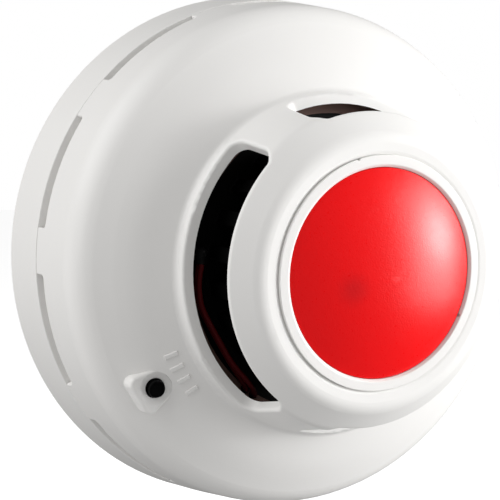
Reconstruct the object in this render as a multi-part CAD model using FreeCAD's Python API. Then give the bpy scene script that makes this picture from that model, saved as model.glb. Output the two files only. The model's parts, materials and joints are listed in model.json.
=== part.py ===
"""Point heat detector: a twist-on head with three vents and a red signal lens, on a wall base.

Every piece is modelled about a depth axis: z runs from the wall (z = 0) to the front of the
lens, x runs to the right and y runs up, as seen from the front. save() turns each piece so
that the front of the detector looks along -Y and up is +Z. All sizes are in millimetres and
all angles are in degrees, counted anticlockwise from the right as seen from the front.
"""
import FreeCAD, Part
import math
import os

from FreeCAD import Vector

# ---------------------------------------------------------------- outer form
RIM_R = 52.0                # radius where the base meets the wall
BASE_TOP_R = 49.75          # radius of the base at the seam
SEAM_Z = 10.8               # seam between the base and the head
SEAM_GAP = 0.3              # running gap at the seam
SHOULDER_R = 46.75          # corner between the side wall and the flange
SHOULDER_Z = 23.6
SHOULDER_ROUND = 7.8
FLANGE_R = 38.5             # bend in the domed flange
FLANGE_Z = 28.3
FLANGE_ROUND = 30.0
NECK_FOOT_R = 31.2          # corner between the flange and the neck
NECK_FOOT_Z = 30.95
NECK_FOOT_ROUND = 1.5
NECK_TOP_R = 27.75          # corner between the neck and its cap
NECK_TOP_Z = 42.1
NECK_TOP_ROUND = 2.5
CAP_R = 23.05               # bend between the cap's slope and its flat front
CAP_Z = 46.0
CAP_ROUND = 3.2
LIP_R = 20.3                # where the cap turns down towards the bezel
LIP_Z = 45.85
LIP_ROUND = 0.9
CAP_INNER_R = 19.0
CAP_INNER_Z = 45.2
WALL = 1.8                  # wall of the front cover
EDGE_ROUND = 0.3

# ---------------------------------------------------------------- vents, slits and button pad
VENT_ANGLES = (63.0, 183.0, 303.0)
VENT_WIDTH_DEG = 99.8
VENT_SILL_Z = 32.6
VENT_TOP_Z = 41.8
VENT_CORNER = 2.2
VENT_EDGE_ROUND = 0.6       # rounding of the vents' outer edges
SLIT_COUNT = 10
SLIT_PITCH_DEG = 34.0
SLIT_FIRST_DEG = -10.4
SLIT_WIDTH_DEG = 24.3
SLIT_FRONT_Z = 13.1
SLIT_CORNER = 0.8
SLIT_EDGE_ROUND = 0.3
BUTTON_R = 39.3             # place of the test button, from the depth axis
BUTTON_ANGLE = 209.9
PAD_TOP_Z = 28.5
PAD_OUTER = 3.5             # pad edges, from the button, along the radius
PAD_INNER = 2.8
PAD_OUTER_HALF = 4.0        # half widths of those edges
PAD_INNER_HALF = 2.6
PAD_CORNER = 1.3
PAD_DRAFT = 0.5             # how much wider the pad is at its foot
PAD_FOOT_Z = 24.6
PAD_EDGE_ROUND = 0.55
DISH_R = 2.85               # finger dish round the button
DISH_DEPTH = 0.5
BUTTON_HOLE_R = 1.75
MARK_COUNT = 4              # short raised bars beside the pad
MARK_R = 34.6
MARK_FIRST_DEG = 203.6
MARK_PITCH_DEG = 4.1
MARK_LENGTH = 2.4
MARK_WIDTH = 0.8
MARK_HEIGHT = 0.25
MARK_EDGE_ROUND = 0.15

# ---------------------------------------------------------------- mounting base
FLOOR = 2.4
BASE_WALL = 2.0
CABLE_R = 12.0
COLLAR = 2.0                # wall and height of the rim round the cable entry
SLOT_X = 30.0               # fixing slots, either side of the centre
SLOT_HALF_WIDTH = 2.25
SLOT_LENGTH = 12.0
BAYONET_ANGLES = (90.0, 210.0, 330.0)
HOOK_INNER_R = 44.6
HOOK_OUTER_R = 49.4
HOOK_Z = 5.8
HOOK_THICK = 1.8
HOOK_WIDTH_DEG = 21.5
STOP_WIDTH_DEG = 3.0
LUG_R = 46.4
LUG_Z = 3.4
LUG_THICK = 1.8
LUG_WIDTH_DEG = 12.0
LUG_SIDE_GAP_DEG = 0.8      # between a lug and its stop at rest

# ---------------------------------------------------------------- terminals
TERMINAL_ANGLES = (45.0, 135.0, 225.0, 315.0)
TERMINAL_WIDTH = 8.0
TERMINAL_SCREW_R = 36.0     # place of each terminal screw, from the depth axis
PEDESTAL_Z = 4.0
CONTACT_THICK = 0.8
LEAF_TOP_Z = 7.2
BLADE_FOOT_Z = 7.55
BLADE_INNER_R = 24.5
BLADE_OUTER_R = 29.5
BLADE_WIDTH = 5.0
CLAMP_SIDE = 7.0
CLAMP_THICK = 1.0

# ---------------------------------------------------------------- chassis and boards
CHASSIS_BACK_Z = 9.6
CHASSIS_FRONT_Z = 11.4
CHASSIS_R = 47.3
CHASSIS_RIM_TOP_Z = 15.0
CHASSIS_RIM_TOP_R = 46.4
CHASSIS_RIM_INNER_R = 44.8
SKIRT_OUTER_R = 44.0
SKIRT_INNER_R = 42.0
BOARD_Z = 15.0
BOARD_THICK = 1.6
BOARD_R = 42.5
BOARD_TOP_Z = BOARD_Z + BOARD_THICK
BOARD_SCREW_R = 25.0        # place of the board screws, from the depth axis
BOARD_SCREW_ANGLES = (90.0, 210.0, 330.0)
COVER_SCREW_R = 40.0        # place of the cover screws, from the depth axis
COVER_SCREW_ANGLES = (30.0, 150.0, 270.0)
TAG_R = 27.0                # place of each blade's solder tag, from the depth axis
POST_R = 3.5
BOSS_R = 3.2
SCREW_HEAD_R = 2.8
SCREW_RECESS_R = 3.1
SCREW_RECESS_Z = 11.0
SCREW_HOLE_R = 1.6
SCREW_R = 1.2
PILOT_R = 1.25

# ---------------------------------------------------------------- sensing chamber and lens
CAGE_FLOOR_Z = 26.7
CAGE_FLOOR_TOP_Z = 28.2
CAGE_FLOOR_R = 30.3
VANE_COUNT = 24
VANE_WIDTH_DEG = 6.0
VANE_INNER_R = 22.0
VANE_OUTER_R = 24.0
CAGE_TOP_Z = 38.0
CAGE_TOP_THICK = 1.4
CAGE_TOP_INNER_R = 15.0
SEAL_INNER_R = 27.3         # brown seal on the chamber's floor
SEAL_OUTER_R = 30.1
SEAL_TOP_Z = 28.9
SENSOR_X = -26.8
SENSOR_Y = 3.2
SENSOR_Z = 31.2
SENSOR_R = 1.2
SENSOR_NECK = 1.6
LEAD_R = 0.45
LEAD_PITCH = 1.1
LEAD_HOLE_R = 0.9
LEAD_DROP_STEP = 2.0        # spacing of the points that keep a lead straight as it drops
LEAD_FOOT_R = 27.6          # where the leads go through the chamber's floor
LEAD_FOOT_ANGLES = (231.0, 235.0)
LED_BOARD_R = 18.0
LED_BOARD_THICK = 1.2
LED_BOARD_TOP_Z = CAGE_TOP_Z + LED_BOARD_THICK
LED_X = -3.0
LED_Y = -2.6
LED_R = 2.5
LED_TOP_Z = 45.0
LINK_X = 8.0
LINK_Y = 9.0
LINK_COUNT = 3
LINK_PITCH = 2.54
LINK_PIN = 0.64
REFLECTOR_R = 17.4
REFLECTOR_TOP_Z = 43.2
LENS_EDGE_R = 17.7
LENS_EDGE_Z = 45.75
LENS_APEX_Z = 49.6
LENS_WALL = 1.6
LENS_FLANGE_R = 18.8
LENS_FLANGE_Z = 43.3
LENS_FLANGE_TOP_Z = 44.75
BEZEL_R = 19.78
BEZEL_SKIRT_R = 18.95
BEZEL_LIP_R = 17.8
BEZEL_LIP_Z = 44.8
BEZEL_TOP_Z = 46.2
BEZEL_BACK_Z = 40.0
BEZEL_NICK_DEG = 105.5
LIP_NICK_DEG = -27.2
BEZEL_NICK_R = 0.3
BEZEL_SEAT_R = 19.82
SEAT_TUBE_R = 21.4
SEAT_TUBE_Z = 39.0

# ---------------------------------------------------------------- test switch
SWITCH_SIDE = 6.2
SWITCH_TOP_Z = BOARD_TOP_Z + 3.8
SWITCH_PLATE_THICK = 0.3
SWITCH_CAVITY_R = 2.6
SWITCH_CAVITY_Z = BOARD_TOP_Z + 1.5
PLUNGER_R = 1.45
PLUNGER_COLLAR_R = 2.3
PLUNGER_FOOT_Z = SWITCH_CAVITY_Z + 0.8
PLUNGER_COLLAR_THICK = 1.0
PLUNGER_TOP_Z = PAD_TOP_Z + 0.9

# ---------------------------------------------------------------- electronics on the main board
RELAY_X = 9.0
RELAY_Y = -3.0
RELAY_SIZE = (19.0, 10.4, 9.4)
TRANSISTOR_PLACES = ((14.5, -14.0), (9.5, -14.0), (-13.5, 4.0))
RESISTOR_ROWS = ((-27.0, 9.0), (-27.0, 12.5), (-12.0, 20.5), (10.0, -31.5))
CAPACITOR_ROWS = ((22.0, 26.0), (-10.0, -28.0))
CHIPS_IN_ROW = 4
CHIP_PITCH = 3.0

ORIGIN = Vector(0, 0, 0)
DEPTH_AXIS = Vector(0, 0, 1)
ACROSS_AXIS = Vector(1, 0, 0)
FULL_TURN = 360.0
EDGE_SLACK = 0.01


# ---------------------------------------------------------------- building blocks
def save(name, shape):
    """Write one piece, turned so that its depth axis points along -Y."""
    placed = shape.copy()
    placed.rotate(ORIGIN, ACROSS_AXIS, 90)
    placed.exportStep(f"parts/{name}.step")


def rounded_corner(before, corner, after, radius):
    """Start, middle and end of the arc that rounds a corner."""
    back = (before - corner).normalize()
    ahead = (after - corner).normalize()
    half = back.getAngle(ahead) / 2
    reach = radius / math.tan(half)
    inwards = (back + ahead).normalize()
    centre = corner + inwards * (radius / math.sin(half))
    return corner + back * reach, centre - inwards * radius, corner + ahead * reach


def rounded_face(corners):
    """Flat face from (point, rounding radius) pairs in order round its edge."""
    edges = []
    starts = []
    ends = []
    for index, (corner, radius) in enumerate(corners):
        before = corners[index - 1][0]
        after = corners[(index + 1) % len(corners)][0]
        if radius > 0:
            start, middle, end = rounded_corner(before, corner, after, radius)
            edges.append(Part.Arc(start, middle, end).toShape())
        else:
            start = corner
            end = corner
        starts.append(start)
        ends.append(end)
    for index, end in enumerate(ends):
        start = starts[(index + 1) % len(starts)]
        if end.distanceToPoint(start) > 1e-6:
            edges.append(Part.makeLine(end, start))
    return Part.Face(Part.Wire(Part.__sortEdges__(edges)))


def lathe(corners, sweep=FULL_TURN):
    """Solid turned about the depth axis from (radius, z, rounding) corners."""
    face = rounded_face([(Vector(r, 0, z), rounding) for r, z, rounding in corners])
    return face.revolve(ORIGIN, DEPTH_AXIS, sweep)


def ring(inner_r, outer_r, low_z, high_z):
    """Plain ring, or a disc when inner_r is 0."""
    return lathe([(inner_r, low_z, 0), (outer_r, low_z, 0), (outer_r, high_z, 0), (inner_r, high_z, 0)])


def turned(shape, angle):
    """Copy of a shape, turned about the depth axis."""
    copy = shape.copy()
    copy.rotate(ORIGIN, DEPTH_AXIS, angle)
    return copy


def sector(inner_r, outer_r, low_z, high_z, middle_deg, width_deg):
    """Slice of a ring, centred on an angle."""
    outline = [(inner_r, low_z, 0), (outer_r, low_z, 0), (outer_r, high_z, 0), (inner_r, high_z, 0)]
    return turned(lathe(outline, width_deg), middle_deg - width_deg / 2)


def rod(x, y, low_z, high_z, radius):
    """Round rod along the depth axis."""
    return Part.makeCylinder(radius, high_z - low_z, Vector(x, y, low_z))


def block(x, y, low_z, size_x, size_y, high_z):
    """Box centred on x and y."""
    corner = Vector(x - size_x / 2, y - size_y / 2, low_z)
    return Part.makeBox(size_x, size_y, high_z - low_z, corner)


def polar(radius, angle):
    """x and y of a point at a radius and an angle."""
    return radius * math.cos(math.radians(angle)), radius * math.sin(math.radians(angle))


def softened(shape, radius, wanted):
    """Shape with the edges that wanted() picks rounded."""
    return shape.makeFillet(radius, [edge for edge in shape.Edges if wanted(edge)])


def is_flat_circle(edge, z, radius=None):
    """True for a circular edge that lies at a depth, and has a radius if one is given."""
    if not isinstance(edge.Curve, Part.Circle):
        return False
    if abs(edge.BoundBox.ZMin - z) > 0.01 or abs(edge.BoundBox.ZMax - z) > 0.01:
        return False
    return radius is None or abs(edge.Curve.Radius - radius) < 0.01


def is_radial_line(edge):
    """True for a straight edge square to the depth axis that points away from it."""
    if not isinstance(edge.Curve, Part.Line):
        return False
    first, last = edge.Vertexes[0].Point, edge.Vertexes[-1].Point
    return abs(first.z - last.z) < 0.01 and abs(first.x * last.y - first.y * last.x) < 0.01


def window(inner_r, outer_r, low_z, high_z, middle_deg, width_deg, corner):
    """Cutter for an arc-shaped opening with rounded corners."""
    cutter = sector(inner_r, outer_r, low_z, high_z, middle_deg, width_deg)
    return softened(cutter, corner, is_radial_line)


def opening_edges(shape, inner_r, low_z, high_z, middle_deg, width_deg):
    """Edges of an arc-shaped opening that lie outside a radius."""
    found = []
    for edge in shape.Edges:
        if edge.BoundBox.ZMin < low_z - EDGE_SLACK or edge.BoundBox.ZMax > high_z + EDGE_SLACK:
            continue
        inside = True
        for share in (0.0, 0.25, 0.5, 0.75, 1.0):
            span = edge.LastParameter - edge.FirstParameter
            point = edge.valueAt(edge.FirstParameter + share * span)
            turn = (math.degrees(math.atan2(point.y, point.x)) - middle_deg + 180) % FULL_TURN - 180
            outside_wall = math.hypot(point.x, point.y) > inner_r(point.z)
            inside = inside and outside_wall and abs(turn) < width_deg / 2 + 0.1
        if inside:
            found.append(edge)
    return found


# ---------------------------------------------------------------- front cover and lens
COVER_CHAIN = [
    (BASE_TOP_R - 0.05, SEAM_Z + SEAM_GAP / 2, 0),
    (SHOULDER_R, SHOULDER_Z, SHOULDER_ROUND),
    (FLANGE_R, FLANGE_Z, FLANGE_ROUND),
    (NECK_FOOT_R, NECK_FOOT_Z, NECK_FOOT_ROUND),
    (NECK_TOP_R, NECK_TOP_Z, NECK_TOP_ROUND),
    (CAP_R, CAP_Z, CAP_ROUND),
    (LIP_R, LIP_Z, LIP_ROUND),
    (CAP_INNER_R, CAP_INNER_Z, 0),
    (0, CAP_INNER_Z, 0),
]


def inset(chain, wall):
    """The cover's outline moved inwards by its wall, with its roundings kept concentric."""
    moved = []
    for index, (r, z, rounding) in enumerate(chain):
        here = Vector(r, 0, z)
        normals = []
        for first, second in ((index - 1, index), (index, index + 1)):
            if first < 0 or second >= len(chain):
                continue
            run = Vector(chain[second][0] - chain[first][0], 0, chain[second][1] - chain[first][1])
            normals.append(Vector(-run.z, 0, run.x).normalize())
        total = normals[0] + normals[-1]
        place = here + total * (wall / (1 + normals[0].dot(normals[-1])))
        is_hollow = (r, z) == (NECK_FOOT_R, NECK_FOOT_Z)
        inner_rounding = rounding + wall if is_hollow else max(rounding - wall, 0)
        moved.append((max(place.x, 0), place.z, inner_rounding))
    return moved


def cover_block(chain, back_z):
    """Solid under an outline, closed at the back and along the depth axis."""
    return lathe([(0, back_z, 0), (chain[0][0], back_z, 0)] + chain)


def at_button(shape):
    """Move a shape from the axis to the test button, with +X pointing outwards."""
    moved = shape.copy()
    moved.translate(Vector(BUTTON_R, 0, 0))
    return turned(moved, BUTTON_ANGLE)


def pad_outline(z, growth):
    """Four-sided outline of the button pad at one depth."""
    outer = PAD_OUTER + growth
    inner = -PAD_INNER - growth
    corners = [
        (outer, -PAD_OUTER_HALF - growth),
        (outer, PAD_OUTER_HALF + growth),
        (inner, PAD_INNER_HALF + growth),
        (inner, -PAD_INNER_HALF - growth),
    ]
    return rounded_face([(Vector(x, y, z), PAD_CORNER + growth) for x, y in corners]).OuterWire


def button_pad():
    """Flat-topped pad round the test button."""
    foot = pad_outline(PAD_FOOT_Z, PAD_DRAFT)
    top = pad_outline(PAD_TOP_Z, 0)
    pad = Part.makeLoft([foot, top], True, True)
    pad = softened(pad, PAD_EDGE_ROUND, lambda edge: edge.BoundBox.ZMin > PAD_TOP_Z - EDGE_SLACK)
    guide = rod(0, 0, PAD_FOOT_Z - 2.0, PAD_TOP_Z - 1.0, BUTTON_HOLE_R + 1.2)
    return at_button(pad.fuse(guide))


def button_recess():
    """Cutter for the pad's flat where the flange rises above it, and for the dish and the hole."""
    flat = Part.Face(pad_outline(PAD_TOP_Z, -PAD_EDGE_ROUND)).extrude(Vector(0, 0, WALL * 2))
    ball_r = (DISH_R ** 2 + DISH_DEPTH ** 2) / (2 * DISH_DEPTH)
    dish = Part.makeSphere(ball_r, Vector(0, 0, PAD_TOP_Z - DISH_DEPTH + ball_r))
    dish = dish.common(rod(0, 0, PAD_FOOT_Z, PAD_TOP_Z + WALL, DISH_R))
    hole = rod(0, 0, PAD_FOOT_Z - 4.0, PAD_TOP_Z + 2.0, BUTTON_HOLE_R)
    return at_button(flat.fuse(dish).fuse(hole))


def flange_marks():
    """Short raised bars on the flange, square to the radius."""
    bars = []
    flange_slope = math.degrees(math.atan2(NECK_FOOT_Z - FLANGE_Z, FLANGE_R - NECK_FOOT_R))
    surface_z = FLANGE_Z + (FLANGE_R - MARK_R) * math.tan(math.radians(flange_slope))
    for index in range(MARK_COUNT):
        bar = Part.makeBox(MARK_LENGTH, MARK_WIDTH, WALL, Vector(-MARK_LENGTH / 2, -MARK_WIDTH / 2, -WALL))
        bar = softened(bar, MARK_EDGE_ROUND, lambda edge: edge.BoundBox.ZMin > -EDGE_SLACK)
        bar.translate(Vector(0, 0, MARK_HEIGHT))
        bar.rotate(ORIGIN, Vector(0, 1, 0), flange_slope)
        bar.translate(Vector(MARK_R, 0, surface_z))
        bars.append(turned(bar, MARK_FIRST_DEG + index * MARK_PITCH_DEG))
    return bars


def neck_middle_r(z):
    """Radius of the middle of the neck's wall at a depth."""
    slope = (NECK_FOOT_R - NECK_TOP_R) / (NECK_TOP_Z - NECK_FOOT_Z)
    straight = NECK_FOOT_R - slope * (z - NECK_FOOT_Z)
    return straight - WALL * 0.75


def front_cover():
    """White shell: flange, neck with three vents, slits, button pad and screw bosses."""
    back_z = COVER_CHAIN[0][1]
    inner_chain = inset(COVER_CHAIN, WALL)
    outer = cover_block(COVER_CHAIN, back_z)
    inner = cover_block(inner_chain, back_z - 1.0)
    cover = outer.cut(inner)
    for angle in VENT_ANGLES:
        cover = cover.cut(window(VANE_OUTER_R, NECK_FOOT_R + 4.0, VENT_SILL_Z, VENT_TOP_Z, angle,
                                 VENT_WIDTH_DEG, VENT_CORNER))
    for angle in VENT_ANGLES:
        edges = opening_edges(cover, neck_middle_r, VENT_SILL_Z, VENT_TOP_Z, angle, VENT_WIDTH_DEG)
        cover = cover.makeFillet(VENT_EDGE_ROUND, edges)
    for index in range(SLIT_COUNT):
        angle = SLIT_FIRST_DEG + index * SLIT_PITCH_DEG
        cover = cover.cut(window(SKIRT_OUTER_R, RIM_R, SEAM_Z - 2.0, SLIT_FRONT_Z, angle,
                                 SLIT_WIDTH_DEG, SLIT_CORNER))
        edges = opening_edges(cover, lambda z: BASE_TOP_R - WALL, back_z, SLIT_FRONT_Z, angle,
                              SLIT_WIDTH_DEG)
        edges = [edge for edge in edges if edge.BoundBox.ZMax > back_z + EDGE_SLACK]
        cover = cover.makeFillet(SLIT_EDGE_ROUND, edges)
    for angle in COVER_SCREW_ANGLES:
        x, y = polar(COVER_SCREW_R, angle)
        boss = rod(x, y, CHASSIS_FRONT_Z, SHOULDER_Z + 3.0, BOSS_R)
        cover = cover.fuse(boss.common(outer))
        cover = cover.cut(rod(x, y, CHASSIS_FRONT_Z - 1.0, SHOULDER_Z - 2.0, PILOT_R))
    cover = cover.fuse(ring(BEZEL_SEAT_R - 1.0, SEAT_TUBE_R, SEAT_TUBE_Z, CAP_Z - 1.0))
    cover = cover.cut(ring(0, BEZEL_SEAT_R, SEAT_TUBE_Z - 1.0, LENS_APEX_Z))
    cover = cover.fuse(button_pad())
    for bar in flange_marks():
        cover = cover.fuse(bar)
    cover = cover.cut(button_recess())
    return cover.removeSplitter()


def lens_bezel():
    """Thin white ring that holds the lens, with a small nick on its outer edge and one on its lip."""
    bezel = lathe([
        (BEZEL_LIP_R, BEZEL_LIP_Z, 0),
        (BEZEL_LIP_R, BEZEL_TOP_Z - 0.4, 0.1),
        (BEZEL_LIP_R + 0.4, BEZEL_TOP_Z, 0.3),
        (BEZEL_R, BEZEL_TOP_Z, 0.12),
        (BEZEL_R, BEZEL_BACK_Z, 0.2),
        (BEZEL_SKIRT_R, BEZEL_BACK_Z, 0.2),
        (BEZEL_SKIRT_R, BEZEL_LIP_Z, 0),
    ])
    for r, angle in ((BEZEL_R, BEZEL_NICK_DEG), (BEZEL_LIP_R, LIP_NICK_DEG)):
        x, y = polar(r, angle)
        bezel = bezel.cut(rod(x, y, BEZEL_LIP_Z - 1.0, BEZEL_TOP_Z + 1.0, BEZEL_NICK_R))
    return bezel


def dome_point(edge_r, edge_z, apex_z, r):
    """Point of a shallow dome, from its edge and its apex."""
    rise = apex_z - edge_z
    radius = (edge_r ** 2 + rise ** 2) / (2 * rise)
    return Vector(r, 0, apex_z - radius + math.sqrt(radius ** 2 - r ** 2))


def signal_lens():
    """Red dome with a flange that the bezel holds."""
    inner_edge_r = LENS_EDGE_R - LENS_WALL + 0.2
    inner_edge_z = LENS_FLANGE_Z + 0.4
    inner_apex_z = LENS_APEX_Z - LENS_WALL
    outer_edge = Vector(LENS_EDGE_R, 0, LENS_EDGE_Z)
    outer_apex = Vector(0, 0, LENS_APEX_Z)
    inner_edge = Vector(inner_edge_r, 0, inner_edge_z)
    inner_apex = Vector(0, 0, inner_apex_z)
    outer_middle = dome_point(LENS_EDGE_R, LENS_EDGE_Z, LENS_APEX_Z, LENS_EDGE_R / 2)
    inner_middle = dome_point(inner_edge_r, inner_edge_z, inner_apex_z, inner_edge_r / 2)
    corners = [
        outer_edge,
        Vector(LENS_EDGE_R, 0, LENS_FLANGE_TOP_Z),
        Vector(LENS_FLANGE_R, 0, LENS_FLANGE_TOP_Z),
        Vector(LENS_FLANGE_R, 0, LENS_FLANGE_Z),
        Vector(inner_edge_r, 0, LENS_FLANGE_Z),
        inner_edge,
    ]
    edges = [Part.makeLine(first, second) for first, second in zip(corners, corners[1:])]
    edges.append(Part.Arc(inner_edge, inner_middle, inner_apex).toShape())
    edges.append(Part.makeLine(inner_apex, outer_apex))
    edges.append(Part.Arc(outer_apex, outer_middle, outer_edge).toShape())
    return Part.Face(Part.Wire(edges)).revolve(ORIGIN, DEPTH_AXIS, FULL_TURN)


def led_reflector():
    """White dish behind the lens, with a hole for the lamp."""
    return lathe([
        (7.0, LED_BOARD_TOP_Z, 0),
        (8.0, LED_BOARD_TOP_Z, 0),
        (REFLECTOR_R, REFLECTOR_TOP_Z - 1.0, 0),
        (REFLECTOR_R, REFLECTOR_TOP_Z, 0),
        (REFLECTOR_R - 0.8, REFLECTOR_TOP_Z, 0),
        (7.0, LED_BOARD_TOP_Z + 1.0, 0),
    ])


def alarm_led():
    """Round lamp with a domed top and a foot flange."""
    return lathe([
        (0, LED_BOARD_TOP_Z, 0),
        (LED_R + 0.4, LED_BOARD_TOP_Z, 0),
        (LED_R + 0.4, LED_BOARD_TOP_Z + 1.0, 0),
        (LED_R, LED_BOARD_TOP_Z + 1.0, 0),
        (LED_R, LED_TOP_Z, LED_R - 0.1),
        (0, LED_TOP_Z, 0),
    ]).translated(Vector(LED_X, LED_Y, 0))


def link_places():
    """x and y of each pin that joins the two boards."""
    return [(LINK_X + (index - (LINK_COUNT - 1) / 2) * LINK_PITCH, LINK_Y) for index in range(LINK_COUNT)]


def led_board():
    """Round board for the lamp, with holes for its link pins."""
    board = ring(0, LED_BOARD_R, CAGE_TOP_Z, LED_BOARD_TOP_Z)
    for x, y in link_places():
        board = board.cut(rod(x, y, CAGE_TOP_Z - 1, LED_BOARD_TOP_Z + 1, 0.5))
    return board


def led_link_pins():
    """Square pins from the main board up to the lamp's board."""
    return Part.makeCompound([
        block(x, y, BOARD_Z - 1.2, LINK_PIN, LINK_PIN, LED_BOARD_TOP_Z + 0.6) for x, y in link_places()
    ])


# ---------------------------------------------------------------- sensing chamber
def sensor_cage():
    """Black chamber: floor on three legs, upright vanes and a ring that carries the lamp's board."""
    cage = ring(0, CAGE_FLOOR_R, CAGE_FLOOR_Z, CAGE_FLOOR_TOP_Z)
    cage = cage.fuse(ring(CAGE_TOP_INNER_R, VANE_OUTER_R, CAGE_TOP_Z - CAGE_TOP_THICK, CAGE_TOP_Z))
    for index in range(VANE_COUNT):
        angle = (index + 0.5) * FULL_TURN / VANE_COUNT
        vane = sector(VANE_INNER_R, VANE_OUTER_R, CAGE_FLOOR_Z, CAGE_TOP_Z, angle, VANE_WIDTH_DEG)
        cage = cage.fuse(vane)
    for angle in BOARD_SCREW_ANGLES:
        x, y = polar(BOARD_SCREW_R, angle)
        cage = cage.fuse(rod(x, y, BOARD_TOP_Z, CAGE_FLOOR_Z + 0.5, BOSS_R))
        cage = cage.cut(rod(x, y, BOARD_TOP_Z - 1, CAGE_FLOOR_Z - 2, PILOT_R))
    cage = cage.cut(block(LINK_X, LINK_Y, CAGE_FLOOR_Z - 1, LINK_COUNT * LINK_PITCH, 2.0,
                          CAGE_FLOOR_TOP_Z + 1))
    for hole in lead_holes(CAGE_FLOOR_Z - 1, CAGE_FLOOR_TOP_Z + 1):
        cage = cage.cut(hole)
    return cage.removeSplitter()


def lead_holes(low_z, high_z):
    """Cutters where the sensor's leads go through a piece."""
    return [rod(*polar(LEAD_FOOT_R, angle), low_z, high_z, LEAD_HOLE_R) for angle in LEAD_FOOT_ANGLES]


def chamber_seal():
    """Brown seal that lies on the chamber's floor, inside the neck."""
    seal = ring(SEAL_INNER_R, SEAL_OUTER_R, CAGE_FLOOR_TOP_Z, SEAL_TOP_Z)
    for hole in lead_holes(CAGE_FLOOR_TOP_Z - 1, SEAL_TOP_Z + 1):
        seal = seal.cut(hole)
    return seal


def heat_sensor():
    """Thermistor bead on its leads, standing in the air that a vent lets in."""
    bead = Part.makeSphere(SENSOR_R, Vector(SENSOR_X, SENSOR_Y, SENSOR_Z))
    neck = Part.makeCylinder(SENSOR_R * 0.8, SENSOR_NECK, Vector(SENSOR_X, SENSOR_Y, SENSOR_Z),
                             Vector(0, -1, 0))
    return bead.fuse(neck).removeSplitter()


def heat_sensor_leads():
    """Two sleeved wires from the bead, across the vent and down to the main board."""
    leads = []
    start_y = SENSOR_Y - SENSOR_NECK - 0.1
    for side, foot_angle in zip((-1, 1), LEAD_FOOT_ANGLES):
        z = SENSOR_Z + side * LEAD_PITCH / 2
        foot_x, foot_y = polar(LEAD_FOOT_R, foot_angle)
        route = [
            Vector(SENSOR_X, start_y, z), Vector(SENSOR_X - 0.4, start_y - 2.0, z),
            Vector(-27.0, -5.0, z), Vector(-25.2, -9.0, z), Vector(-23.4, -12.2, z),
            Vector(-21.4, -15.6, z - 0.1), Vector(foot_x - 1.2, foot_y + 1.7, z - 0.7),
        ]
        drop_z = SEAL_TOP_Z + 0.4
        while drop_z > BOARD_Z - LEAD_DROP_STEP:
            route.append(Vector(foot_x, foot_y, drop_z))
            drop_z -= LEAD_DROP_STEP
        spline = Part.BSplineCurve()
        spline.interpolate(route)
        path = Part.Wire(spline.toShape())
        profile = Part.Wire(Part.makeCircle(LEAD_R, route[0], spline.tangent(spline.FirstParameter)[0]))
        leads.append(path.makePipeShell([profile], True, False))
    return Part.makeCompound(leads)


# ---------------------------------------------------------------- boards
def main_board():
    """Round circuit board with notches for the cover's bosses and holes for pins."""
    board = ring(0, BOARD_R, BOARD_Z, BOARD_TOP_Z)
    low, high = BOARD_Z - 1, BOARD_TOP_Z + 1
    for angle in COVER_SCREW_ANGLES:
        board = board.cut(rod(*polar(COVER_SCREW_R, angle), low, high, BOSS_R + 0.6))
    for angle in BOARD_SCREW_ANGLES:
        board = board.cut(rod(*polar(BOARD_SCREW_R, angle), low, high, SCREW_HOLE_R))
    for x, y in link_places():
        board = board.cut(rod(x, y, low, high, 0.5))
    for hole in lead_holes(low, high):
        board = board.cut(hole)
    for angle in TERMINAL_ANGLES:
        board = board.cut(turned(block(TAG_R, 0, low, 1.4, 2.6, high), angle))
    for x, y in switch_pin_places():
        board = board.cut(at_button(rod(x, y, low, high, 0.55)))
    for x, y in relay_pin_places():
        board = board.cut(rod(x, y, low, high, 0.6))
    return board


def seated(x, y, size_x, size_y, height):
    """Box-shaped component that sits on the main board."""
    return block(x, y, BOARD_TOP_Z, size_x, size_y, BOARD_TOP_Z + height)


# ---------------------------------------------------------------- test switch
def switch_pin_places():
    """x and y of each pin of the test switch, from the button's centre."""
    offset = SWITCH_SIDE / 2 + 0.15
    return [(side * offset, across * 2.25) for side in (-1, 1) for across in (-1, 1)]


def test_switch():
    """Square switch body, open at the front."""
    body = block(0, 0, BOARD_TOP_Z, SWITCH_SIDE, SWITCH_SIDE, SWITCH_TOP_Z)
    return at_button(body.cut(rod(0, 0, SWITCH_CAVITY_Z, SWITCH_TOP_Z + 1, SWITCH_CAVITY_R)))


def test_switch_plate():
    """Steel plate that keeps the plunger in the switch."""
    top = SWITCH_TOP_Z + SWITCH_PLATE_THICK
    plate = block(0, 0, SWITCH_TOP_Z, SWITCH_SIDE, SWITCH_SIDE, top)
    return at_button(plate.cut(rod(0, 0, SWITCH_TOP_Z - 1, top + 1, BUTTON_HOLE_R)))


def test_switch_pins():
    """Four flat pins at the sides of the switch, through the board."""
    pins = [block(x, y, BOARD_Z - 1.0, 0.3, 0.7, BOARD_TOP_Z + 1.6) for x, y in switch_pin_places()]
    return at_button(Part.makeCompound(pins))


def test_button():
    """Black plunger with a collar that the switch plate holds back."""
    stem = rod(0, 0, PLUNGER_FOOT_Z, PLUNGER_TOP_Z, PLUNGER_R)
    stem = softened(stem, 0.25, lambda edge: is_flat_circle(edge, PLUNGER_TOP_Z))
    collar = rod(0, 0, PLUNGER_FOOT_Z, PLUNGER_FOOT_Z + PLUNGER_COLLAR_THICK, PLUNGER_COLLAR_R)
    return at_button(stem.fuse(collar).removeSplitter())


# ---------------------------------------------------------------- mounting base and terminals
def hook_middle(angle):
    """Angle of a hook, for a lug that rests at the given angle."""
    return angle + (HOOK_WIDTH_DEG - LUG_WIDTH_DEG) / 2 - STOP_WIDTH_DEG - LUG_SIDE_GAP_DEG


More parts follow.
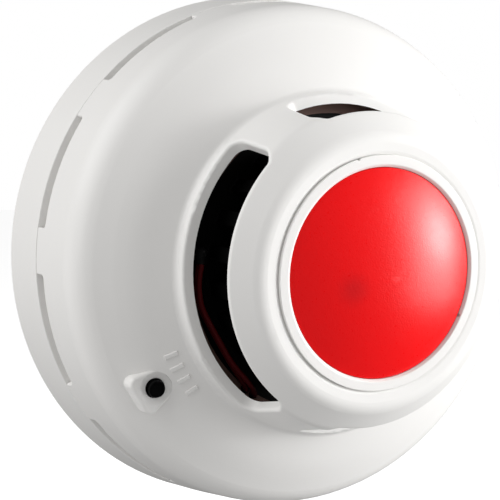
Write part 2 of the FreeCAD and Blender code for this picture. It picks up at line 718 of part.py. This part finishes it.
def mounting_base():
    """Round cup for the wall: floor, cable entry, fixing slots, hooks and terminal pedestals."""
    slope = (RIM_R - BASE_TOP_R) / SEAM_Z
    top_z = SEAM_Z - SEAM_GAP / 2
    base = lathe([
        (CABLE_R, 0, 0),
        (RIM_R, 0, EDGE_ROUND),
        (RIM_R - slope * top_z, top_z, EDGE_ROUND),
        (RIM_R - slope * top_z - BASE_WALL, top_z, EDGE_ROUND),
        (RIM_R - slope * FLOOR - BASE_WALL, FLOOR, 0.6),
        (CABLE_R + COLLAR, FLOOR, 0.4),
        (CABLE_R + COLLAR, FLOOR + COLLAR, 0.4),
        (CABLE_R, FLOOR + COLLAR, 0),
    ])
    for angle in BAYONET_ANGLES:
        middle = hook_middle(angle)
        hook = sector(HOOK_INNER_R, HOOK_OUTER_R, HOOK_Z, HOOK_Z + HOOK_THICK, middle, HOOK_WIDTH_DEG)
        stop_angle = middle - (HOOK_WIDTH_DEG - STOP_WIDTH_DEG) / 2
        stop = sector(HOOK_INNER_R, HOOK_OUTER_R, FLOOR - 0.5, HOOK_Z + 0.5, stop_angle, STOP_WIDTH_DEG)
        base = base.fuse(hook).fuse(stop)
        base = base.cut(sector(HOOK_INNER_R, LUG_R + 1.2, -1, FLOOR + 0.1, middle + STOP_WIDTH_DEG / 2,
                               HOOK_WIDTH_DEG - STOP_WIDTH_DEG))
    for angle in TERMINAL_ANGLES:
        pedestal = block(TERMINAL_SCREW_R - 0.5, 0, FLOOR - 0.5, 10.0, TERMINAL_WIDTH + 2.0, PEDESTAL_Z)
        hole = rod(TERMINAL_SCREW_R, 0, 0.8, PEDESTAL_Z + 1, SCREW_HOLE_R)
        base = base.fuse(turned(pedestal, angle)).cut(turned(hole, angle))
    for side in (-1, 1):
        straight = SLOT_LENGTH - 2 * SLOT_HALF_WIDTH
        slot = block(side * SLOT_X, 0, -1, straight, 2 * SLOT_HALF_WIDTH, FLOOR + 1)
        for end in (-1, 1):
            slot = slot.fuse(rod(side * SLOT_X + end * straight / 2, 0, -1, FLOOR + 1, SLOT_HALF_WIDTH))
        base = base.cut(slot)
    return base.removeSplitter()


def strip(points, width):
    """Bent strip of metal: an outline in radius and z, given a width across."""
    corners = [Vector(r, -width / 2, z) for r, z in points]
    wire = Part.makePolygon(corners + corners[:1])
    return Part.Face(wire).extrude(Vector(0, width, 0))


def base_contact(angle):
    """Terminal plate on its pedestal, with a spring leaf towards the centre."""
    low = PEDESTAL_Z
    top = PEDESTAL_Z + CONTACT_THICK
    leaf_low = LEAF_TOP_Z - CONTACT_THICK
    plate = strip([
        (40.0, low), (31.6, low), (30.0, leaf_low), (24.0, leaf_low), (23.4, leaf_low - 0.8),
        (22.9, leaf_low - 0.3), (23.6, LEAF_TOP_Z), (30.6, LEAF_TOP_Z), (32.2, top), (40.0, top),
    ], TERMINAL_WIDTH)
    return turned(plate.cut(rod(TERMINAL_SCREW_R, 0, low - 1, top + 1, SCREW_HOLE_R)), angle)


def terminal_washers():
    """Square clamp plates, one on each terminal."""
    low = PEDESTAL_Z + CONTACT_THICK
    high = low + CLAMP_THICK
    plate = block(TERMINAL_SCREW_R, 0, low, CLAMP_SIDE - 1.0, CLAMP_SIDE, high)
    plate = plate.cut(rod(TERMINAL_SCREW_R, 0, low - 1, high + 1, SCREW_HOLE_R))
    return Part.makeCompound([turned(plate, angle) for angle in TERMINAL_ANGLES])


def cross_slot(x, y, z, depth, width, length):
    """Cutter for a cross recess in a screw head that faces the wall or the front."""
    bar = block(x, y, z, length, width, z + depth)
    return bar.fuse(block(x, y, z, width, length, z + depth))


def terminal_screws():
    """Pan-head screws that hold the clamp plates and wires."""
    seat = PEDESTAL_Z + CONTACT_THICK + CLAMP_THICK
    head = rod(TERMINAL_SCREW_R, 0, seat, seat + 1.5, 2.8)
    head = softened(head, 0.5, lambda edge: is_flat_circle(edge, seat + 1.5))
    head = head.cut(cross_slot(TERMINAL_SCREW_R, 0, seat + 0.7, 1.0, 0.7, 3.2))
    screw = head.fuse(rod(TERMINAL_SCREW_R, 0, 1.0, seat, SCREW_HOLE_R - 0.1))
    return Part.makeCompound([turned(screw, angle) for angle in TERMINAL_ANGLES])


# ---------------------------------------------------------------- chassis and its screws
def rear_chassis():
    """Back of the head: disc, rim inside the cover, skirt with bayonet lugs, posts and slots."""
    chassis = lathe([
        (0, CHASSIS_BACK_Z, 0),
        (SKIRT_INNER_R, CHASSIS_BACK_Z, 0),
        (SKIRT_INNER_R, LUG_Z, 0.3),
        (SKIRT_OUTER_R, LUG_Z, 0.3),
        (SKIRT_OUTER_R, CHASSIS_BACK_Z, 0),
        (CHASSIS_R, CHASSIS_BACK_Z, EDGE_ROUND),
        (CHASSIS_R, CHASSIS_FRONT_Z, 0),
        (CHASSIS_RIM_TOP_R, CHASSIS_RIM_TOP_Z, EDGE_ROUND),
        (CHASSIS_RIM_INNER_R, CHASSIS_RIM_TOP_Z, EDGE_ROUND),
        (CHASSIS_RIM_INNER_R, CHASSIS_FRONT_Z, 0),
        (0, CHASSIS_FRONT_Z, 0),
    ])
    for angle in BAYONET_ANGLES:
        lug = sector(SKIRT_OUTER_R - 0.5, LUG_R, LUG_Z, LUG_Z + LUG_THICK, angle, LUG_WIDTH_DEG)
        chassis = chassis.fuse(lug)
    for angle in BOARD_SCREW_ANGLES:
        x, y = polar(BOARD_SCREW_R, angle)
        chassis = chassis.fuse(rod(x, y, CHASSIS_FRONT_Z - 0.5, BOARD_Z, POST_R))
        chassis = chassis.cut(screw_hole(x, y))
    for angle in COVER_SCREW_ANGLES:
        chassis = chassis.cut(screw_hole(*polar(COVER_SCREW_R, angle)))
    for angle in TERMINAL_ANGLES:
        slot = block(TAG_R, 0, CHASSIS_BACK_Z - 1, 1.6, BLADE_WIDTH + 0.6, CHASSIS_FRONT_Z + 1)
        chassis = chassis.cut(turned(slot, angle))
    return chassis.removeSplitter()


def screw_hole(x, y):
    """Cutter for a screw that goes in from the back, with room for its head."""
    recess = rod(x, y, CHASSIS_BACK_Z - 1, SCREW_RECESS_Z, SCREW_RECESS_R)
    return recess.fuse(rod(x, y, CHASSIS_BACK_Z, BOARD_Z + 1, SCREW_HOLE_R))


def rear_screw(x, y, tip_z):
    """Screw that goes in from the back of the chassis."""
    head_z = SCREW_RECESS_Z - 1.2
    head = rod(x, y, head_z, SCREW_RECESS_Z, SCREW_HEAD_R)
    head = softened(head, 0.3, lambda edge: is_flat_circle(edge, head_z))
    head = head.cut(cross_slot(x, y, head_z - 0.3, 1.0, 0.6, 2.8))
    return head.fuse(rod(x, y, SCREW_RECESS_Z, tip_z, SCREW_R))


def board_screws():
    """Screws through the chassis and the main board into the cage's legs."""
    places = [polar(BOARD_SCREW_R, angle) for angle in BOARD_SCREW_ANGLES]
    return Part.makeCompound([rear_screw(x, y, BOARD_TOP_Z + 6.0) for x, y in places])


def cover_screws():
    """Screws through the chassis into the cover's bosses."""
    places = [polar(COVER_SCREW_R, angle) for angle in COVER_SCREW_ANGLES]
    return Part.makeCompound([rear_screw(x, y, CHASSIS_FRONT_Z + 8.0) for x, y in places])


def contact_blade(angle):
    """Metal blade through the chassis: a foot over the base's leaf, and a tag to the board."""
    thick = CONTACT_THICK
    foot = block((BLADE_INNER_R + BLADE_OUTER_R) / 2, 0, BLADE_FOOT_Z, BLADE_OUTER_R - BLADE_INNER_R,
                 BLADE_WIDTH, BLADE_FOOT_Z + thick)
    stem = block(TAG_R, 0, BLADE_FOOT_Z, thick, BLADE_WIDTH, CHASSIS_FRONT_Z + thick)
    shelf = block(TAG_R - 1.5, 0, CHASSIS_FRONT_Z, 3.0 + thick, BLADE_WIDTH, CHASSIS_FRONT_Z + thick)
    tag = block(TAG_R, 0, CHASSIS_FRONT_Z, thick, 2.0, BOARD_TOP_Z + 0.8)
    return turned(foot.fuse(stem).fuse(shelf).fuse(tag).removeSplitter(), angle)


# ---------------------------------------------------------------- electronics
def relay_pin_places():
    """x and y of the relay's pins."""
    return [(RELAY_X + dx, RELAY_Y + dy) for dx in (-7.5, 0.0, 7.5) for dy in (-3.8, 3.8)]


def alarm_relay():
    """Sealed relay with softened edges."""
    body = seated(RELAY_X, RELAY_Y, *RELAY_SIZE)
    return softened(body, 0.6, lambda edge: edge.BoundBox.ZMin > BOARD_TOP_Z + 0.1)


def relay_pins():
    """Pins under the relay, through the board."""
    pins = [rod(x, y, BOARD_Z - 1.2, BOARD_TOP_Z, 0.4) for x, y in relay_pin_places()]
    return Part.makeCompound(pins)


def electrolytic(x, y, radius, height):
    """Can capacitor with a rounded top and a crimped groove."""
    low = BOARD_TOP_Z
    return lathe([
        (0, low, 0), (radius, low, 0.2), (radius, low + 1.2, 0), (radius - 0.3, low + 1.6, 0),
        (radius, low + 2.0, 0), (radius, low + height, 0.5), (0, low + height, 0),
    ]).translated(Vector(x, y, 0))


def surge_suppressor():
    """Disc-shaped suppressor standing on the board."""
    disc = Part.makeCylinder(3.9, 3.0, Vector(31.0, -1.5, BOARD_TOP_Z + 4.1), Vector(0, 1, 0))
    return softened(disc, 0.7, lambda edge: isinstance(edge.Curve, Part.Circle))


def microcontroller_leads():
    """Gull-wing leads along both sides of the microcontroller."""
    leads = []
    for side in (-1, 1):
        for index in range(8):
            x = -3.0 + (index - 3.5) * 1.27
            leads.append(block(x, -18.0 + side * 2.6, BOARD_TOP_Z, 0.4, 1.2, BOARD_TOP_Z + 0.35))
    return Part.makeCompound(leads)


def chip_row(rows, size_x, size_y, height):
    """Small chips, in rows of four."""
    chips = []
    for x, y in rows:
        for index in range(CHIPS_IN_ROW):
            chips.append(seated(x + (index - 1.5) * CHIP_PITCH, y, size_x, size_y, height))
    return Part.makeCompound(chips)


# ---------------------------------------------------------------- every piece, by name
PIECES = {
    "mounting_base": mounting_base(),
    "terminal_washers": terminal_washers(),
    "terminal_screws": terminal_screws(),
    "rear_chassis": rear_chassis(),
    "board_screws": board_screws(),
    "cover_screws": cover_screws(),
    "front_cover": front_cover(),
    "lens_bezel": lens_bezel(),
    "signal_lens": signal_lens(),
    "led_reflector": led_reflector(),
    "alarm_led": alarm_led(),
    "led_board": led_board(),
    "led_link_pins": led_link_pins(),
    "sensor_cage": sensor_cage(),
    "chamber_seal": chamber_seal(),
    "heat_sensor": heat_sensor(),
    "heat_sensor_leads": heat_sensor_leads(),
    "main_board": main_board(),
    "test_switch": test_switch(),
    "test_switch_plate": test_switch_plate(),
    "test_switch_pins": test_switch_pins(),
    "test_button": test_button(),
    "alarm_relay": alarm_relay(),
    "relay_pins": relay_pins(),
    "filter_capacitor": electrolytic(-6.5, 9.5, 4.0, 9.0),
    "supply_capacitor": electrolytic(-8.0, -6.0, 3.15, 8.0),
    "surge_suppressor": surge_suppressor(),
    "bridge_rectifier": seated(31.0, 10.0, 5.0, 6.4, 2.6),
    "reference_sensor": seated(-31.0, 2.0, 1.6, 3.2, 0.9),
    "microcontroller": seated(-3.0, -18.0, 10.0, 4.0, 1.6),
    "microcontroller_leads": microcontroller_leads(),
    "transistors": Part.makeCompound([seated(x, y, 2.9, 1.4, 1.1) for x, y in TRANSISTOR_PLACES]),
    "chip_resistors": chip_row(RESISTOR_ROWS, 2.0, 1.25, 0.5),
    "chip_capacitors": chip_row(CAPACITOR_ROWS, 2.0, 1.25, 1.2),
}
for number, terminal_angle in enumerate(TERMINAL_ANGLES, start=1):
    PIECES[f"base_contact_{number}"] = base_contact(terminal_angle)
    PIECES[f"contact_blade_{number}"] = contact_blade(terminal_angle)

os.makedirs("parts", exist_ok=True)
for piece_name, piece_shape in PIECES.items():
    save(piece_name, piece_shape)
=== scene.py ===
"""Looks of a round heat detector: a white twist-on head with a red signal dome, on a white base.

Everything is in metres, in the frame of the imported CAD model: the mounting face lies in the plane
y = 0, the body's axis points along -Y out through the lens, and +Z is up.
"""
import json
import math

import bpy
from mathutils import Matrix, Vector

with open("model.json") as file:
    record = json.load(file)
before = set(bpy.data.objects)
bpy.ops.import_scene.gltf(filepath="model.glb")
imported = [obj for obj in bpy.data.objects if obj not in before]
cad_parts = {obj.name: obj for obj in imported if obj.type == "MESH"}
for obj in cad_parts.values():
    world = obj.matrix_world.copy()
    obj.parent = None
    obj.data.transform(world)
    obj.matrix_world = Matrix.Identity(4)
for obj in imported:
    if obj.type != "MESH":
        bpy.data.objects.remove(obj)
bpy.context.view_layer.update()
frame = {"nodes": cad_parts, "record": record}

MM = 0.001
WHITE = (1, 1, 1, 1)

# ---------------------------------------------------------------- camera
CAMERA_AZIMUTH = math.radians(-26.25)
CAMERA_ELEVATION = math.radians(5.81)
CAMERA_DISTANCE = 191.9 * MM
CAMERA_RIGHT = -1.98 * MM       # how far the camera's aim is moved from the body's axis
CAMERA_UP = -0.16 * MM
CAMERA_NEAR = 0.01
CAMERA_FAR = 20
LENS_MM = 65.25
SENSOR_MM = 36.0


def add_camera():
    """Camera to the left of the lens and a little above it, aimed near the mounting face's middle."""
    a, e = CAMERA_AZIMUTH, CAMERA_ELEVATION
    right = Vector((math.cos(a), math.sin(a), 0))
    up = Vector((-math.sin(a) * math.sin(e), math.cos(a) * math.sin(e), math.cos(e)))
    back = right.cross(up)
    data = bpy.data.cameras.new("camera")
    data.lens = LENS_MM
    data.sensor_width = SENSOR_MM
    data.clip_start = CAMERA_NEAR
    data.clip_end = CAMERA_FAR
    camera = bpy.data.objects.new("camera", data)
    bpy.context.scene.collection.objects.link(camera)
    place = right * CAMERA_RIGHT + up * CAMERA_UP + back * CAMERA_DISTANCE
    turn = Matrix((right, up, back)).transposed().to_4x4()
    camera.matrix_world = Matrix.Translation(place) @ turn
    bpy.context.scene.camera = camera


# ---------------------------------------------------------------- materials
# Noise scales are in features per metre, and a drift is added to the material's roughness.
PLASTIC_IOR = 1.49
PLASTIC_TONE_SCALE = 45.0
PLASTIC_GLOSS_SCALE = 160.0
PLASTIC_GLOSS_DRIFT = (-0.04, 0.05)
PLASTIC_GRAIN_HEIGHT = 0.02 * MM

METAL_TONE_SCALE = 120.0
METAL_GLOSS_SCALE = 500.0
METAL_GLOSS_DRIFT = (-0.06, 0.10)
METAL_MARK_SCALE = 1800.0
METAL_MARK_STRENGTH = 0.15
METAL_MARK_HEIGHT = 0.01 * MM

LENS_TONES = ((0.90, 0.0004, 0.0018), (0.95, 0.0008, 0.0030))
LENS_TONE_SCALE = 60.0
LENS_ROUGHNESS = (0.20, 0.42)
LENS_GLOSS_SCALE = 2800.0
LENS_GRAIN_SCALE = 3600.0
LENS_GRAIN_STRENGTH = 1.0
LENS_GRAIN_HEIGHT = 0.03 * MM
LENS_SPECULAR = 0.34

# Painted shade: the lens colour is darkened around this point, standing in for the lamp behind the
# dome.
LAMP_SHADOW = Vector((-7.7, -48.9, -1.8)) * MM      # on the dome, over the lamp as the camera sees it
LAMP_SHADOW_TONE = (0.74, 0.003, 0.006)
LAMP_SHADOW_INNER = 0.1 * MM
LAMP_SHADOW_OUTER = 3.8 * MM


def new_material(name):
    """Empty node material with a Principled shader. Returns material, nodes, links and shader."""
    material = bpy.data.materials.new(name)
    material.use_nodes = True
    tree = material.node_tree
    shader = tree.nodes["Principled BSDF"]
    return material, tree.nodes, tree.links, shader


def add_noise(nodes, links, scale, detail=3.0, roughness=0.5):
    """Noise texture in object space."""
    where = nodes.new("ShaderNodeTexCoord")
    noise = nodes.new("ShaderNodeTexNoise")
    noise.inputs["Scale"].default_value = scale
    noise.inputs["Detail"].default_value = detail
    noise.inputs["Roughness"].default_value = roughness
    links.new(where.outputs["Object"], noise.inputs["Vector"])
    return noise


def add_colour_mix(nodes, links, factor, high):
    """Mix from input A to the high tone, by a factor socket."""
    mix = nodes.new("ShaderNodeMix")
    mix.data_type = "RGBA"
    mix.inputs["B"].default_value = (*high, 1)
    links.new(factor, mix.inputs["Factor"])
    return mix


def add_drifting_tone(nodes, links, low, high, scale):
    """Colour that drifts between two near tones."""
    noise = add_noise(nodes, links, scale)
    mix = add_colour_mix(nodes, links, noise.outputs["Fac"], high)
    mix.inputs["A"].default_value = (*low, 1)
    return mix


def mottle(nodes, links, shader, low, high, scale):
    """Base colour that drifts between two near tones."""
    tone = add_drifting_tone(nodes, links, low, high, scale)
    links.new(tone.outputs["Result"], shader.inputs["Base Color"])


def vary_roughness(nodes, links, shader, low, high, scale):
    """Roughness that drifts between two values."""
    noise = add_noise(nodes, links, scale, detail=4.0)
    span = nodes.new("ShaderNodeMapRange")
    span.inputs["To Min"].default_value = low
    span.inputs["To Max"].default_value = high
    links.new(noise.outputs["Fac"], span.inputs["Value"])
    links.new(span.outputs["Result"], shader.inputs["Roughness"])


def add_grain(nodes, links, shader, scale, strength, distance):
    """Fine bump of a moulded or cast surface."""
    noise = add_noise(nodes, links, scale, detail=2.0)
    bump = nodes.new("ShaderNodeBump")
    bump.inputs["Strength"].default_value = strength
    bump.inputs["Distance"].default_value = distance
    links.new(noise.outputs["Fac"], bump.inputs["Height"])
    links.new(bump.outputs["Normal"], shader.inputs["Normal"])


def moulded(name, low, high, roughness, grain=0.10, scale=2600.0, specular=0.5):
    """Injection-moulded plastic: two near tones, drifting gloss and a fine grain."""
    material, nodes, links, shader = new_material(name)
    mottle(nodes, links, shader, low, high, PLASTIC_TONE_SCALE)
    smoother, rougher = (roughness + drift for drift in PLASTIC_GLOSS_DRIFT)
    vary_roughness(nodes, links, shader, smoother, rougher, PLASTIC_GLOSS_SCALE)
    add_grain(nodes, links, shader, scale, grain, PLASTIC_GRAIN_HEIGHT)
    shader.inputs["IOR"].default_value = PLASTIC_IOR
    shader.inputs["Specular IOR Level"].default_value = specular
    return material


def metal(name, low, high, roughness):
    """Plated metal with drifting tone and gloss and faint uneven marks."""
    material, nodes, links, shader = new_material(name)
    mottle(nodes, links, shader, low, high, METAL_TONE_SCALE)
    smoother, rougher = (roughness + drift for drift in METAL_GLOSS_DRIFT)
    vary_roughness(nodes, links, shader, smoother, rougher, METAL_GLOSS_SCALE)
    add_grain(nodes, links, shader, METAL_MARK_SCALE, METAL_MARK_STRENGTH, METAL_MARK_HEIGHT)
    shader.inputs["Metallic"].default_value = 1.0
    return material


def near_point(nodes, links, point, inner, outer):
    """1 within the inner distance of a point, fading to 0 at the outer distance."""
    where = nodes.new("ShaderNodeTexCoord")
    far = nodes.new("ShaderNodeVectorMath")
    far.operation = "DISTANCE"
    far.inputs[1].default_value = point
    links.new(where.outputs["Object"], far.inputs[0])
    fade = nodes.new("ShaderNodeMapRange")
    fade.interpolation_type = "SMOOTHSTEP"
    fade.inputs["From Min"].default_value = inner
    fade.inputs["From Max"].default_value = outer
    fade.inputs["To Min"].default_value = 1.0
    fade.inputs["To Max"].default_value = 0.0
    links.new(far.outputs["Value"], fade.inputs["Value"])
    return fade


def lens_material():
    """Frosted red plastic, with painted shade: a little darker where the lamp behind it would show
    through.
    """
    material, nodes, links, shader = new_material("red_lens")
    tone = add_drifting_tone(nodes, links, *LENS_TONES, LENS_TONE_SCALE)
    # painted shade of the lamp behind the dome, mixed into the base colour
    spot = near_point(nodes, links, LAMP_SHADOW, LAMP_SHADOW_INNER, LAMP_SHADOW_OUTER)
    mix = add_colour_mix(nodes, links, spot.outputs["Result"], LAMP_SHADOW_TONE)
    links.new(tone.outputs["Result"], mix.inputs["A"])
    links.new(mix.outputs["Result"], shader.inputs["Base Color"])
    vary_roughness(nodes, links, shader, *LENS_ROUGHNESS, LENS_GLOSS_SCALE)
    add_grain(nodes, links, shader, LENS_GRAIN_SCALE, LENS_GRAIN_STRENGTH, LENS_GRAIN_HEIGHT)
    shader.inputs["IOR"].default_value = PLASTIC_IOR
    shader.inputs["Specular IOR Level"].default_value = LENS_SPECULAR
    return material


# name: low tone, high tone, roughness, and what differs from a plain moulding
PLASTICS = {
    "white_plastic": ((0.84, 0.828, 0.808), (0.87, 0.86, 0.842), 0.38, {}),
    "reflector_white": ((0.88, 0.88, 0.87), (0.93, 0.93, 0.92), 0.25, {}),
    "lamp_red": ((0.35, 0.01, 0.01), (0.5, 0.02, 0.02), 0.12, {"grain": 0.02}),
    "black_plastic": ((0.0012, 0.0012, 0.0015), (0.0025, 0.0023, 0.0023), 0.50, {"specular": 0.08}),
    "board_green": ((0.010, 0.13, 0.055), (0.02, 0.19, 0.08), 0.30, {"scale": 900.0}),
    "capacitor_sleeve": ((0.012, 0.016, 0.04), (0.02, 0.026, 0.06), 0.22, {}),
    "suppressor_blue": ((0.02, 0.08, 0.30), (0.04, 0.12, 0.38), 0.30, {}),
    "red_sleeve": ((0.045, 0.002, 0.003), (0.065, 0.003, 0.004), 0.45,
                   {"scale": 4000.0, "specular": 0.08}),
    "seal_brown": ((0.085, 0.040, 0.030), (0.12, 0.060, 0.045), 0.60, {"specular": 0.3}),
    "black_epoxy": ((0.003, 0.003, 0.003), (0.006, 0.006, 0.006), 0.55, {"specular": 0.15}),
    "chip_black": ((0.02, 0.02, 0.02), (0.05, 0.05, 0.05), 0.40, {}),
    "chip_tan": ((0.42, 0.30, 0.18), (0.55, 0.42, 0.27), 0.45, {}),
}
# name: low tone, high tone, roughness
METALS = {
    "steel": ((0.55, 0.55, 0.56), (0.68, 0.68, 0.68), 0.30),
    "tinned_pins": ((0.70, 0.70, 0.71), (0.82, 0.82, 0.82), 0.28),
    "brass_contacts": ((0.72, 0.56, 0.26), (0.85, 0.70, 0.38), 0.26),
}


def make_materials():
    """All materials, by the name of the record's slot."""
    materials = {"red_lens": lens_material()}
    for name, (low, high, roughness, special) in PLASTICS.items():
        materials[name] = moulded(name, low, high, roughness, **special)
    for name, (low, high, roughness) in METALS.items():
        materials[name] = metal(name, low, high, roughness)
    return materials


def finish_cad_nodes():
    """Give every CAD node its material, from the record's slots."""
    materials = make_materials()
    for part in frame["record"]["subparts"]:
        node = frame["nodes"][part["node"]]
        node.data.materials.clear()
        node.data.materials.append(materials[part["material_slot"]])


# ---------------------------------------------------------------- light and floor
LIGHT_DISTANCE = 0.55
# Watts that light a white face, square to the lamp, to 1.
FACING_POWER = math.pi ** 2 * LIGHT_DISTANCE ** 2
LIGHT_AIM = Vector((0, -25 * MM, 0))

# name, azimuth and elevation in degrees, level, width and height of each lamp
LIGHTS = (
    ("key_light", 59, 5, 0.98, 0.32, 0.45),
    ("gleam_light", 63, 7, 0.42, 0.06, 0.15),       # small and bright, for the highlight on the dome
    ("back_light_high", -95, 38, 0.50, 0.45, 0.45),
    ("back_light_low", -100, -20, 0.26, 0.45, 0.45),
)

BACKDROP = 1.0                  # the surroundings as the camera sees them
WORLD_FILL = 0.47               # as they light matt surfaces
GLOSS_FILL = 0.04               # as they look in reflections

FLOOR_REACH = 3.0
FLOOR_HEIGHT = -0.16
FLOOR_TONES = ((0.90, 0.90, 0.90), (0.92, 0.92, 0.92))
FLOOR_TONE_SCALE = 2.0
FLOOR_ROUGHNESS = 0.8
FLOOR_GLOW = 0.57


def add_area_light(name, azimuth, elevation, level, width, height):
    """Soft light aimed at the body from an azimuth (0 in front, 90 from the right)."""
    data = bpy.data.lights.new(name, "AREA")
    data.shape = "RECTANGLE"
    data.size = width
    data.size_y = height
    data.energy = FACING_POWER * level
    light = bpy.data.objects.new(name, data)
    bpy.context.scene.collection.objects.link(light)
    a, e = math.radians(azimuth), math.radians(elevation)
    towards = Vector((math.sin(a) * math.cos(e), -math.cos(a) * math.cos(e), math.sin(e)))
    light.location = LIGHT_AIM + towards * LIGHT_DISTANCE
    light.rotation_mode = "QUATERNION"
    light.rotation_quaternion = towards.to_track_quat("Z", "Y")


def add_shader_mix(nodes, links, factor, first, second):
    """Mix of two shader sockets: the first where the factor is 0, the second where it is 1."""
    mix = nodes.new("ShaderNodeMixShader")
    links.new(factor, mix.inputs["Fac"])
    links.new(first, mix.inputs[1])
    links.new(second, mix.inputs[2])
    return mix.outputs["Shader"]


def add_world():
    """Even light, dimmer where it is reflected, and a white background where the camera sees it."""
    world = bpy.data.worlds.new("studio")
    bpy.context.scene.world = world
    world.use_nodes = True
    nodes, links = world.node_tree.nodes, world.node_tree.links
    seen = nodes["Background"]
    matt = nodes.new("ShaderNodeBackground")
    reflected = nodes.new("ShaderNodeBackground")
    for background, strength in ((seen, BACKDROP), (matt, WORLD_FILL), (reflected, GLOSS_FILL)):
        background.inputs["Color"].default_value = WHITE
        background.inputs["Strength"].default_value = strength
    ray = nodes.new("ShaderNodeLightPath")
    fill = add_shader_mix(nodes, links, ray.outputs["Is Glossy Ray"],
                          matt.outputs["Background"], reflected.outputs["Background"])
    surroundings = add_shader_mix(nodes, links, ray.outputs["Is Camera Ray"],
                                  fill, seen.outputs["Background"])
    links.new(surroundings, nodes["World Output"].inputs["Surface"])


def add_floor():
    """Pale floor under the detector. It glows for the camera and hardly lights the body."""
    r, z = FLOOR_REACH, FLOOR_HEIGHT
    mesh = bpy.data.meshes.new("floor")
    mesh.from_pydata([(-r, -r, z), (r, -r, z), (r, r, z), (-r, r, z)], [], [(0, 1, 2, 3)])
    floor = bpy.data.objects.new("floor", mesh)
    bpy.context.scene.collection.objects.link(floor)
    material, nodes, links, shader = new_material("floor")
    mottle(nodes, links, shader, *FLOOR_TONES, FLOOR_TONE_SCALE)
    shader.inputs["Roughness"].default_value = FLOOR_ROUGHNESS
    shader.inputs["Emission Color"].default_value = WHITE
    shader.inputs["Emission Strength"].default_value = FLOOR_GLOW
    mesh.materials.append(material)
    floor.visible_diffuse = False
    floor.visible_glossy = False


add_camera()
finish_cad_nodes()
add_world()
add_floor()
for light_row in LIGHTS:
    add_area_light(*light_row)

scene = bpy.context.scene
scene.view_settings.view_transform = "Standard"
scene.view_settings.look = "None"
